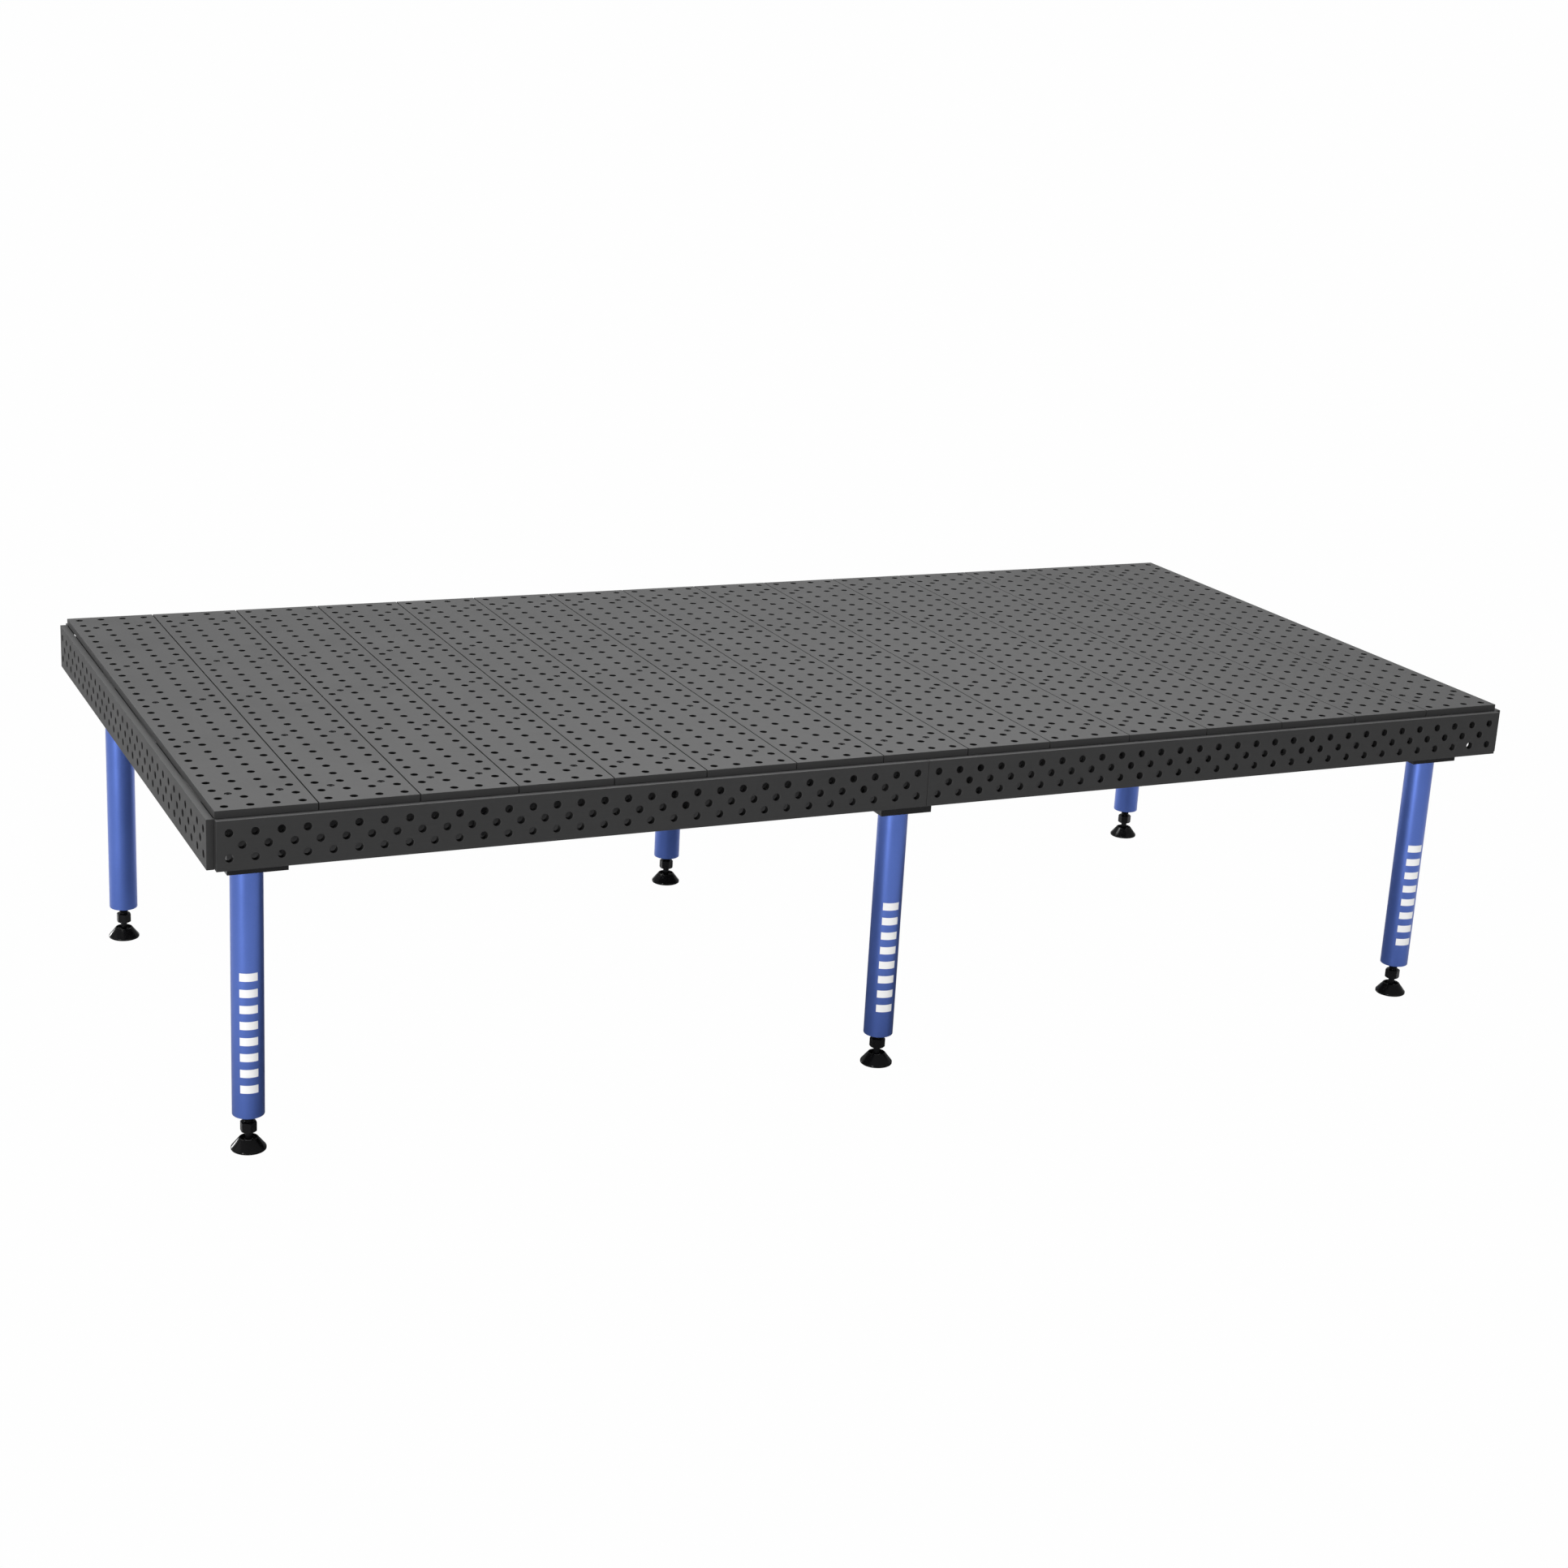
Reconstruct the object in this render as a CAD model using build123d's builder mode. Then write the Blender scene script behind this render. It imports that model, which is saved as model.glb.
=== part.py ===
from build123d import *
from math import sqrt
import os

# Welding table: a plank deck with a grid of fixture holes, hanging side plates, a beam frame,
# six flanged tube legs and six ball-jointed levelling feet.
# Millimetres. +X along the table, -Y the front, +Z up. Origin: on the floor, under the middle.

# ---------------------------------------------------------------- driving dimensions
DECK_TOP = 760.0
STEEL = 15.0                                  # thickness of planks, side plates and bearers
HOLE_CLEARANCE = 0.1                          # added to the radius of bolt holes and of the ball's socket
TURNING_CLEARANCE = 0.08                      # added to the radius of the holes the spindle turns in
DECK_UNDER = DECK_TOP - STEEL
GRID = 50.0                                   # pitch of the fixture holes
FIXTURE_R = 8.0

PLANKS = 15
PLANK_PITCH = 200.0
PLANK_WIDTH = 197.5
PLANK_LENGTH = 1497.5
PLANK_COLUMNS = 4
PLANK_ROWS = 30
DECK_WIDTH = PLANK_ROWS * GRID                # nominal size of the deck, front to back
DECK_LENGTH = PLANKS * PLANK_PITCH            # nominal size of the deck, end to end

FIXING_ROWS = (-650.0, -300.0, 0.0, 300.0, 650.0)
FIXING_HALF_GAUGE = 50.0                      # fixing holes stand this far from the plank's middle
FIXING_R = 4.5
COUNTERBORE_R = 7.5
COUNTERBORE_DEPTH = 9.0

SIDE_LENGTH = 1499.0
SIDE_HEIGHT = 100.0
SIDE_ROW_OFFSET = 25.0                        # top and bottom hole rows from the middle row
SIDE_OUTER_COLUMNS = 30
SIDE_MIDDLE_COLUMNS = 29
SIDE_Z = DECK_UNDER - SIDE_HEIGHT / 2

BEAM = 120.0                                  # square tube of the frame
BEAM_WALL = 5.0
BEAM_Y = 619.0                                # main beams and legs, from the middle
BEAM_LENGTH = 2920.0
BEAM_Z = DECK_UNDER - BEAM / 2
CROSS_X = (-1400.0, 0.0, 1400.0)
CROSS_LENGTH = 2 * BEAM_Y - BEAM
BEARER_ROWS = (-300.0, 0.0, 300.0)
BEARER_LENGTH = CROSS_X[2] - CROSS_X[1] - BEAM

GUSSET_THICKNESS = 8.0
GUSSET_HEIGHT = 80.0
GUSSET_OFFSETS = (-612.5, -212.5, 212.5, 612.5)   # along a side plate, between its hole columns

SCREW_R = 4.0                                 # deck screws, M8 socket heads
SCREW_HEAD_R = 6.5
SCREW_HEAD_HEIGHT = 8.0
SCREW_LENGTH = 16.0
SCREW_KEY = 6.0
SCREW_KEY_DEPTH = 4.0
TAPPED_R = SCREW_R + HOLE_CLEARANCE
TAPPED_DEPTH = 12.0

FLANGE = 120.0
FLANGE_CORNER_THICKNESS = 20.0
FLANGE_MIDDLE_THICKNESS = 25.0
FLANGE_GAUGE = 90.0
FLANGE_X = 1400.0
FLANGE_SCREW_R = 6.0                          # M12 countersunk
FLANGE_HOLE_R = FLANGE_SCREW_R + HOLE_CLEARANCE
FLANGE_SCREW_HEAD_R = 12.0
FLANGE_SINK_R = FLANGE_SCREW_HEAD_R + HOLE_CLEARANCE
FLANGE_SINK_ANGLE = 90
FLANGE_SCREW_LENGTH = 35.0
FLANGE_SCREW_KEY = 8.0
FLANGE_SCREW_KEY_DEPTH = 4.5

LEG_R = 32.5
LEG_WALL = 4.0
LEG_LENGTH = 528.0
LEG_X = 1408.0                                # corner legs stand a little outboard on their flanges
LEG_END_ROUND = 1.5

PLUG_HEIGHT = 30.0
PLUG_CLEARANCE = 0.05
PLUG_R = LEG_R - LEG_WALL - PLUG_CLEARANCE
THREAD_R = 10.0                               # M20 levelling thread, drawn plain
THREAD_HOLE_R = THREAD_R + TURNING_CLEARANCE
THREAD_LENGTH = 120.0
THREAD_TIP_CHAMFER = 1.5

PAD_R = 35.5
PAD_FOOT_CHAMFER = 1.0
PAD_RIM = 4.5
PAD_TOP_R = 19.2
PAD_HEIGHT = 24.8
PAD_MOUTH_R = 17.4                            # of the dished top, at its rim
PAD_MOUTH_TAPER = 0.5
PAD_DISH_Z = 19.0
BALL_Z = 15.0                                 # centre of the ball joint above the floor
BALL_R = 10.0
SOCKET_R = BALL_R + HOLE_CLEARANCE
BALL_TOP_Z = 20.95
BALL_BOTTOM_Z = 7.5
NECK_R = 7.4
NECK_BOTTOM_Z = 21.0
HEX_BOTTOM_Z = 38.5
HEX_HEIGHT = 21.0
HEX_FLATS = 30.0
HEX_CONE_REACH = 3.0                          # the turned cones start at the flats and run out this far
HEX_CONE_DROP = 1.8
JOURNAL_R = 4.0
JOURNAL_HOLE_R = JOURNAL_R + TURNING_CLEARANCE
RIVET_Z = 9.6                                 # where the journal's end starts to flare
RIVET_R = 5.4
RIVET_END_Z = RIVET_Z - (RIVET_R - JOURNAL_R)
RIVET_GAP = 0.18

LEGS = {
    "front_left": (-LEG_X, -BEAM_Y),
    "front_middle": (0.0, -BEAM_Y),
    "front_right": (LEG_X, -BEAM_Y),
    "back_left": (-LEG_X, BEAM_Y),
    "back_middle": (0.0, BEAM_Y),
    "back_right": (LEG_X, BEAM_Y),
}


def flange_thickness(name):
    """The middle flanges are thicker than those at the corners."""
    return FLANGE_MIDDLE_THICKNESS if "middle" in name else FLANGE_CORNER_THICKNESS


def flange_x(name):
    """Corner flanges are centred on the end cross beams, middle ones on the table's middle."""
    return {"left": -FLANGE_X, "middle": 0.0, "right": FLANGE_X}[name.split("_")[1]]


def flange_bottom(name):
    """Height of a flange's underside, where its leg tube starts."""
    return DECK_UNDER - BEAM - flange_thickness(name)


def save(part, name):
    """Label a finished piece and write it to its own file."""
    part.label = name
    export_step(part, f"parts/{name}.step")


# ---------------------------------------------------------------- deck planks
def deck_plank(index):
    """One plank: four columns of fixture holes and ten counterbored fixing holes."""
    middle_x = (index - (PLANKS - 1) / 2) * PLANK_PITCH
    with BuildPart() as plank:
        with BuildSketch(Plane.XY.offset(DECK_UNDER)):
            with Locations((middle_x, 0)):
                Rectangle(PLANK_WIDTH, PLANK_LENGTH)
                with GridLocations(GRID, GRID, PLANK_COLUMNS, PLANK_ROWS):
                    Circle(FIXTURE_R, mode=Mode.SUBTRACT)
        extrude(amount=STEEL)
        fixings = [(middle_x + side * FIXING_HALF_GAUGE, y, DECK_TOP)
                   for y in FIXING_ROWS for side in (-1, 1)]
        with Locations(*fixings):
            CounterBoreHole(FIXING_R, COUNTERBORE_R, COUNTERBORE_DEPTH)
    return plank.part


# ---------------------------------------------------------------- side plates
def side_plate(plane):
    """One side plate on the plane through its inner face, with three rows of fixture holes."""
    with BuildPart() as plate:
        with BuildSketch(plane):
            Rectangle(SIDE_LENGTH, SIDE_HEIGHT)
            with GridLocations(GRID, 2 * SIDE_ROW_OFFSET, SIDE_OUTER_COLUMNS, 2):
                Circle(FIXTURE_R, mode=Mode.SUBTRACT)
            with GridLocations(GRID, GRID, SIDE_MIDDLE_COLUMNS, 1):
                Circle(FIXTURE_R, mode=Mode.SUBTRACT)
        extrude(amount=STEEL)
    return plate.part


def side_planes():
    """Planes through the inner faces of the six side plates, facing outwards."""
    front_x = DECK_LENGTH / 4
    front_y = DECK_WIDTH / 2
    end_x = DECK_LENGTH / 2
    return {
        "front_plate_left": Plane((-front_x, -front_y, SIDE_Z), x_dir=(1, 0, 0), z_dir=(0, -1, 0)),
        "front_plate_right": Plane((front_x, -front_y, SIDE_Z), x_dir=(1, 0, 0), z_dir=(0, -1, 0)),
        "back_plate_left": Plane((-front_x, front_y, SIDE_Z), x_dir=(-1, 0, 0), z_dir=(0, 1, 0)),
        "back_plate_right": Plane((front_x, front_y, SIDE_Z), x_dir=(-1, 0, 0), z_dir=(0, 1, 0)),
        "left_end_plate": Plane((-end_x, 0, SIDE_Z), x_dir=(0, -1, 0), z_dir=(-1, 0, 0)),
        "right_end_plate": Plane((end_x, 0, SIDE_Z), x_dir=(0, 1, 0), z_dir=(1, 0, 0)),
    }


# ---------------------------------------------------------------- frame
def main_beam(side):
    """Square tube over one row of legs, tapped on top for the planks and drilled below for the legs."""
    with BuildPart() as beam:
        with BuildSketch(Plane.YZ.offset(-BEAM_LENGTH / 2)):
            with Locations((side * BEAM_Y, BEAM_Z)):
                Rectangle(BEAM, BEAM)
                Rectangle(BEAM - 2 * BEAM_WALL, BEAM - 2 * BEAM_WALL, mode=Mode.SUBTRACT)
        extrude(amount=BEAM_LENGTH)
        with Locations((0, side * FIXING_ROWS[-1], DECK_UNDER)):
            with GridLocations(2 * FIXING_HALF_GAUGE, 0, 2 * PLANKS, 1):
                Hole(TAPPED_R, TAPPED_DEPTH)
        leg_places = [(x, side * BEAM_Y, DECK_UNDER - BEAM + BEAM_WALL) for x in (-FLANGE_X, 0, FLANGE_X)]
        with Locations(*leg_places):
            with GridLocations(FLANGE_GAUGE, FLANGE_GAUGE, 2, 2):
                Hole(FLANGE_HOLE_R, BEAM_WALL)
    return beam.part


def cross_beams():
    """Three square tubes between the main beams, tapped on top for the planks above them."""
    with BuildPart() as beams:
        with BuildSketch(Plane.XZ.offset(-CROSS_LENGTH / 2)):
            with Locations(*[(x, BEAM_Z) for x in CROSS_X]):
                Rectangle(BEAM, BEAM)
                Rectangle(BEAM - 2 * BEAM_WALL, BEAM - 2 * BEAM_WALL, mode=Mode.SUBTRACT)
        extrude(amount=CROSS_LENGTH)
        with Locations(*[(x, y, DECK_UNDER) for x in CROSS_X for y in BEARER_ROWS]):
            with GridLocations(2 * FIXING_HALF_GAUGE, 0, 2, 1):
                Hole(TAPPED_R, TAPPED_DEPTH)
    return beams.part


def beam_end_caps():
    """Square plates welded flush into the open ends of the main beams."""
    bore = BEAM - 2 * BEAM_WALL
    cap_x = (BEAM_LENGTH - BEAM_WALL) / 2
    with BuildPart() as caps:
        with Locations(*[(sx * cap_x, sy * BEAM_Y, BEAM_Z) for sx in (-1, 1) for sy in (-1, 1)]):
            Box(BEAM_WALL, bore, bore)
    return caps.part


def deck_bearers():
    """Flat bars on edge between the cross beams, tapped on top for the planks."""
    bay_x = (CROSS_X[1] + CROSS_X[2]) / 2
    screws_per_bearer = int((BEARER_LENGTH - STEEL) // (2 * FIXING_HALF_GAUGE))
    with BuildPart() as bearers:
        with Locations(*[(sx * bay_x, y, SIDE_Z) for sx in (-1, 1) for y in BEARER_ROWS]):
            Box(BEARER_LENGTH, STEEL, SIDE_HEIGHT)
        with Locations(*[(sx * bay_x, y, DECK_UNDER) for sx in (-1, 1) for y in BEARER_ROWS]):
            with GridLocations(2 * FIXING_HALF_GAUGE, 0, screws_per_bearer, 1):
                Hole(TAPPED_R, TAPPED_DEPTH)
    return bearers.part


def plate_gussets():
    """Flat stand-offs that weld the side plates to the frame, four to a plate."""
    long_reach = DECK_WIDTH / 2 - BEAM_Y - BEAM / 2
    end_reach = DECK_LENGTH / 2 - BEAM_LENGTH / 2
    long_y = DECK_WIDTH / 2 - long_reach / 2
    end_x = DECK_LENGTH / 2 - end_reach / 2
    long_places = [(sx * DECK_LENGTH / 4 + x, sy * long_y, SIDE_Z)
                   for sx in (-1, 1) for sy in (-1, 1) for x in GUSSET_OFFSETS]
    end_places = [(sx * end_x, y, SIDE_Z) for sx in (-1, 1) for y in GUSSET_OFFSETS]
    with BuildPart() as gussets:
        with Locations(*long_places):
            Box(GUSSET_THICKNESS, long_reach, GUSSET_HEIGHT)
        with Locations(*end_places):
            Box(end_reach, GUSSET_THICKNESS, GUSSET_HEIGHT)
    return gussets.part


# ---------------------------------------------------------------- screws
def deck_screws():
    """All the deck's socket head screws, one solid each, sitting in the planks' counterbores."""
    seat = DECK_TOP - COUNTERBORE_DEPTH
    standing = (Align.CENTER, Align.CENTER, Align.MIN)
    with BuildPart() as screws:
        for y in FIXING_ROWS:
            with Locations((0, y)):
                with GridLocations(2 * FIXING_HALF_GAUGE, 0, 2 * PLANKS, 1):
                    with Locations((0, 0, seat - SCREW_LENGTH)):
                        Cylinder(SCREW_R, SCREW_LENGTH, align=standing)
                    with Locations((0, 0, seat)):
                        Cylinder(SCREW_HEAD_R, SCREW_HEAD_HEIGHT, align=standing)
        key_floor = seat + SCREW_HEAD_HEIGHT - SCREW_KEY_DEPTH
        with BuildSketch(Plane.XY.offset(key_floor)):
            for y in FIXING_ROWS:
                with Locations((0, y)):
                    with GridLocations(2 * FIXING_HALF_GAUGE, 0, 2 * PLANKS, 1):
                        RegularPolygon(SCREW_KEY / 2, 6, major_radius=False)
        extrude(amount=SCREW_KEY_DEPTH, mode=Mode.SUBTRACT)
    return screws.part


def leg_screws():
    """Countersunk screws through the leg flanges into the main beams, one solid each."""
    head = FLANGE_SCREW_HEAD_R - FLANGE_SCREW_R
    with BuildPart() as one:
        with BuildSketch(Plane.XZ):
            with BuildLine():
                Polyline((0, 0), (FLANGE_SCREW_HEAD_R, 0), (FLANGE_SCREW_R, head),
                         (FLANGE_SCREW_R, FLANGE_SCREW_LENGTH), (0, FLANGE_SCREW_LENGTH), close=True)
            make_face()
        revolve(axis=Axis.Z)
        with BuildSketch(Plane.XY):
            RegularPolygon(FLANGE_SCREW_KEY / 2, 6, major_radius=False)
        extrude(amount=FLANGE_SCREW_KEY_DEPTH, mode=Mode.SUBTRACT)
    places = [Pos(flange_x(name) + sx * FLANGE_GAUGE / 2, y + sy * FLANGE_GAUGE / 2, flange_bottom(name))
              for name, (_, y) in LEGS.items() for sx in (-1, 1) for sy in (-1, 1)]
    return Compound(children=[place * one.part.solid() for place in places])


# ---------------------------------------------------------------- legs
def leg_flange(name):
    """Square plate between a leg and its main beam, with four countersunk holes from below."""
    _, y = LEGS[name]
    x = flange_x(name)
    bottom = flange_bottom(name)
    thickness = flange_thickness(name)
    with BuildPart() as flange:
        with BuildSketch(Plane.XY.offset(bottom)):
            with Locations((x, y)):
                Rectangle(FLANGE, FLANGE)
        extrude(amount=thickness)
        with Locations(Location((x, y, bottom), (180, 0, 0))):
            with GridLocations(FLANGE_GAUGE, FLANGE_GAUGE, 2, 2):
                CounterSinkHole(FLANGE_HOLE_R, FLANGE_SINK_R, thickness, FLANGE_SINK_ANGLE)
    return flange.part


def leg_tube(name):
    """Round tube welded under its flange, slightly rounded at the lower end."""
    x, y = LEGS[name]
    with BuildPart() as tube:
        with BuildSketch(Plane.XY.offset(flange_bottom(name) - LEG_LENGTH)):
            with Locations((x, y)):
                Circle(LEG_R)
                Circle(LEG_R - LEG_WALL, mode=Mode.SUBTRACT)
        extrude(amount=LEG_LENGTH)
        lower_rims = tube.edges().filter_by(GeomType.CIRCLE).group_by(Axis.Z)[0]
        fillet(lower_rims.sort_by(SortBy.RADIUS)[-1], LEG_END_ROUND)
    return tube.part


def leg_end_plugs():
    """Threaded discs in the lower ends of the leg tubes, one solid each, threads drawn plain."""
    with BuildPart() as plugs:
        for name, (x, y) in LEGS.items():
            with BuildSketch(Plane.XY.offset(flange_bottom(name) - LEG_LENGTH)):
                with Locations((x, y)):
                    Circle(PLUG_R)
                    Circle(THREAD_HOLE_R, mode=Mode.SUBTRACT)
            extrude(amount=PLUG_HEIGHT)
    return plugs.part


# ---------------------------------------------------------------- levelling feet
def foot_spindle(name):
    """Threaded spindle with a drive hex, a neck, and a journal riveted into the ball bush."""
    x, y = LEGS[name]
    hex_top = HEX_BOTTOM_Z + HEX_HEIGHT
    face_x = x + HEX_FLATS / 2
    with BuildPart() as spindle:
        with BuildSketch(Plane.XZ.offset(-y)):
            with BuildLine():
                Polyline((x, RIVET_END_Z), (x + RIVET_R, RIVET_END_Z), (x + JOURNAL_R, RIVET_Z),
                         (x + JOURNAL_R, NECK_BOTTOM_Z), (x + NECK_R, NECK_BOTTOM_Z),
                         (x + NECK_R, hex_top), (x + THREAD_R, hex_top),
                         (x + THREAD_R, hex_top + THREAD_LENGTH), (x, hex_top + THREAD_LENGTH), close=True)
            make_face()
        revolve(axis=Axis((x, y, 0), (0, 0, 1)))
        chamfer(spindle.edges().group_by(Axis.Z)[-1], THREAD_TIP_CHAMFER)
    with BuildPart() as hexagon:
        with BuildSketch(Plane.XY.offset(HEX_BOTTOM_Z)):
            with Locations((x, y)):
                RegularPolygon(HEX_FLATS / 2, 6, major_radius=False)
        extrude(amount=HEX_HEIGHT)
        # turned cone ends: the hexagon's corners are cut back at both faces
        with BuildSketch(Plane.XZ.offset(-y)):
            with BuildLine():
                Polyline((x, HEX_BOTTOM_Z), (face_x, HEX_BOTTOM_Z),
                         (face_x + HEX_CONE_REACH, HEX_BOTTOM_Z + HEX_CONE_DROP),
                         (face_x + HEX_CONE_REACH, hex_top - HEX_CONE_DROP),
                         (face_x, hex_top), (x, hex_top), close=True)
            make_face()
        revolve(axis=Axis((x, y, 0), (0, 0, 1)), mode=Mode.INTERSECT)
    return spindle.part + hexagon.part


def ball_bush(name):
    """Ball of the foot's joint: the spindle's journal turns in it and the pad tilts on it."""
    x, y = LEGS[name]
    countersink_top = RIVET_Z + RIVET_GAP - (JOURNAL_HOLE_R - JOURNAL_R)
    countersink_r = RIVET_R + RIVET_GAP
    countersink_bottom = countersink_top - (countersink_r - JOURNAL_HOLE_R)
    top_r = sqrt(BALL_R ** 2 - (BALL_TOP_Z - BALL_Z) ** 2)
    bottom_r = sqrt(BALL_R ** 2 - (BALL_BOTTOM_Z - BALL_Z) ** 2)
    with BuildPart() as bush:
        with BuildSketch(Plane.XZ.offset(-y)):
            with BuildLine():
                Polyline((x + top_r, BALL_TOP_Z), (x + JOURNAL_HOLE_R, BALL_TOP_Z),
                         (x + JOURNAL_HOLE_R, countersink_top), (x + countersink_r, countersink_bottom),
                         (x + countersink_r, BALL_BOTTOM_Z), (x + bottom_r, BALL_BOTTOM_Z))
                ThreePointArc((x + bottom_r, BALL_BOTTOM_Z), (x + BALL_R, BALL_Z), (x + top_r, BALL_TOP_Z))
            make_face()
        revolve(axis=Axis((x, y, 0), (0, 0, 1)))
    return bush.part


def foot_pad(name):
    """Turned cone with a dished top; its lip is rolled in over the ball."""
    x, y = LEGS[name]
    lip_r = sqrt(SOCKET_R ** 2 - (PAD_DISH_Z - BALL_Z) ** 2)
    with BuildPart() as pad:
        with BuildSketch(Plane.XZ.offset(-y)):
            with BuildLine():
                Polyline((x, BALL_Z - SOCKET_R), (x, 0), (x + PAD_R - PAD_FOOT_CHAMFER, 0),
                         (x + PAD_R, PAD_FOOT_CHAMFER), (x + PAD_R, PAD_RIM),
                         (x + PAD_TOP_R, PAD_HEIGHT), (x + PAD_MOUTH_R, PAD_HEIGHT),
                         (x + PAD_MOUTH_R - PAD_MOUTH_TAPER, PAD_DISH_Z), (x + lip_r, PAD_DISH_Z))
                ThreePointArc((x + lip_r, PAD_DISH_Z), (x + SOCKET_R, BALL_Z), (x, BALL_Z - SOCKET_R))
            make_face()
        revolve(axis=Axis((x, y, 0), (0, 0, 1)))
    return pad.part


# ---------------------------------------------------------------- write every piece
os.makedirs("parts", exist_ok=True)

for number in range(PLANKS):
    save(deck_plank(number), f"deck_plank_{number + 1:02d}")

for plate_name, plate_plane in side_planes().items():
    save(side_plate(plate_plane), plate_name)

save(main_beam(-1), "front_beam")
save(main_beam(1), "back_beam")
save(cross_beams(), "cross_beams")
save(beam_end_caps(), "beam_end_caps")
save(deck_bearers(), "deck_bearers")
save(plate_gussets(), "plate_gussets")
save(deck_screws(), "deck_screws")
save(leg_screws(), "leg_screws")
save(leg_end_plugs(), "leg_end_plugs")

for leg in LEGS:
    save(leg_flange(leg), f"leg_flange_{leg}")
    save(leg_tube(leg), f"leg_tube_{leg}")
    save(foot_spindle(leg), f"foot_spindle_{leg}")
    save(ball_bush(leg), f"ball_bush_{leg}")
    save(foot_pad(leg), f"foot_pad_{leg}")
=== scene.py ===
from math import cos, pi, radians, sin, sqrt

import bmesh
import bpy
from mathutils import Matrix, Vector


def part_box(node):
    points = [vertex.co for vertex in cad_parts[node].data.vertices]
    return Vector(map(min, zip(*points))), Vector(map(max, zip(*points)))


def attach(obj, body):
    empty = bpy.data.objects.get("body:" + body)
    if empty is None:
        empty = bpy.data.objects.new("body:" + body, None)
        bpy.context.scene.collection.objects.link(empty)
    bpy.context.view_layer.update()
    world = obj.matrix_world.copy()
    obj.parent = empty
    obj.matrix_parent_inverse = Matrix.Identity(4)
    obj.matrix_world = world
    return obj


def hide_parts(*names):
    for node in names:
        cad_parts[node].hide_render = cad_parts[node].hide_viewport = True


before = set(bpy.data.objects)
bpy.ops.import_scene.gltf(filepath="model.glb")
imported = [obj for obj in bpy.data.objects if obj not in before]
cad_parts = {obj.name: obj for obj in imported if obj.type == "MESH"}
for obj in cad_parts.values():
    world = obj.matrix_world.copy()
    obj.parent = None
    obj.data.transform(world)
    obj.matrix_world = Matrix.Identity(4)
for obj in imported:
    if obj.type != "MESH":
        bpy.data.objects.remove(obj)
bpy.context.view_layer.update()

# ================================================================ camera
# A long lens stands off the front left corner, above deck height. It is held with a slight roll.
# The picture is shown with the plain display transform, so greys come out as they are mixed.
LENS_PLACE = Vector((-2.5574, -5.3966, 2.3328))
LENS_YAW = radians(25.636)
LENS_PITCH = radians(17.407)
LENS_ROLL = radians(3.203)
LENS_LENGTH_MM = 60.49
SENSOR_MM = 36.0

level = Vector((sin(LENS_YAW), cos(LENS_YAW), 0))
ahead = level * cos(LENS_PITCH) - Vector((0, 0, sin(LENS_PITCH)))
right = ahead.cross(Vector((0, 0, 1))).normalized()
upward = right.cross(ahead)
lens_x = right * cos(LENS_ROLL) + upward * sin(LENS_ROLL)
lens_y = upward * cos(LENS_ROLL) - right * sin(LENS_ROLL)

camera_data = bpy.data.cameras.new("camera")
camera_data.lens = LENS_LENGTH_MM
camera_data.sensor_width = SENSOR_MM
camera_data.clip_end = 400
camera = bpy.data.objects.new("camera", camera_data)
camera.matrix_world = Matrix.Translation(LENS_PLACE) @ Matrix((lens_x, lens_y, -ahead)).transposed().to_4x4()
bpy.context.scene.collection.objects.link(camera)
bpy.context.scene.camera = camera
bpy.context.scene.view_settings.view_transform = "Standard"

# ================================================================ beam frame
# Two main beams and three cross beams of 120 mm square tube with rolled corners, welded flat.
# Flat plates close the main beams' ends. All of it is sprayed with black satin primer-finish.
TUBE_WALL = 0.005
TUBE_CORNER = 0.009
TUBE_CORNER_STEPS = 5
PAINT_DARK = (0.010, 0.010, 0.011, 1)
PAINT_PALE = (0.022, 0.022, 0.023, 1)
MARK_STRENGTH = 1.7
SHARP_ANGLE = radians(35)
GRAIN_DETAIL = 3
CLOUD_SCALE = 7
CLOUD_DETAIL = 5
CLOUD_ROUGHNESS = 0.65
CLOUD_SHARE = 0.55
NOISE_LOW = 0.3
NOISE_HIGH = 0.7
JOINED_WITHIN = 0.00001
BROKEN_ANGLE = radians(40)
SECTION_EDGE = 0.0008


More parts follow.
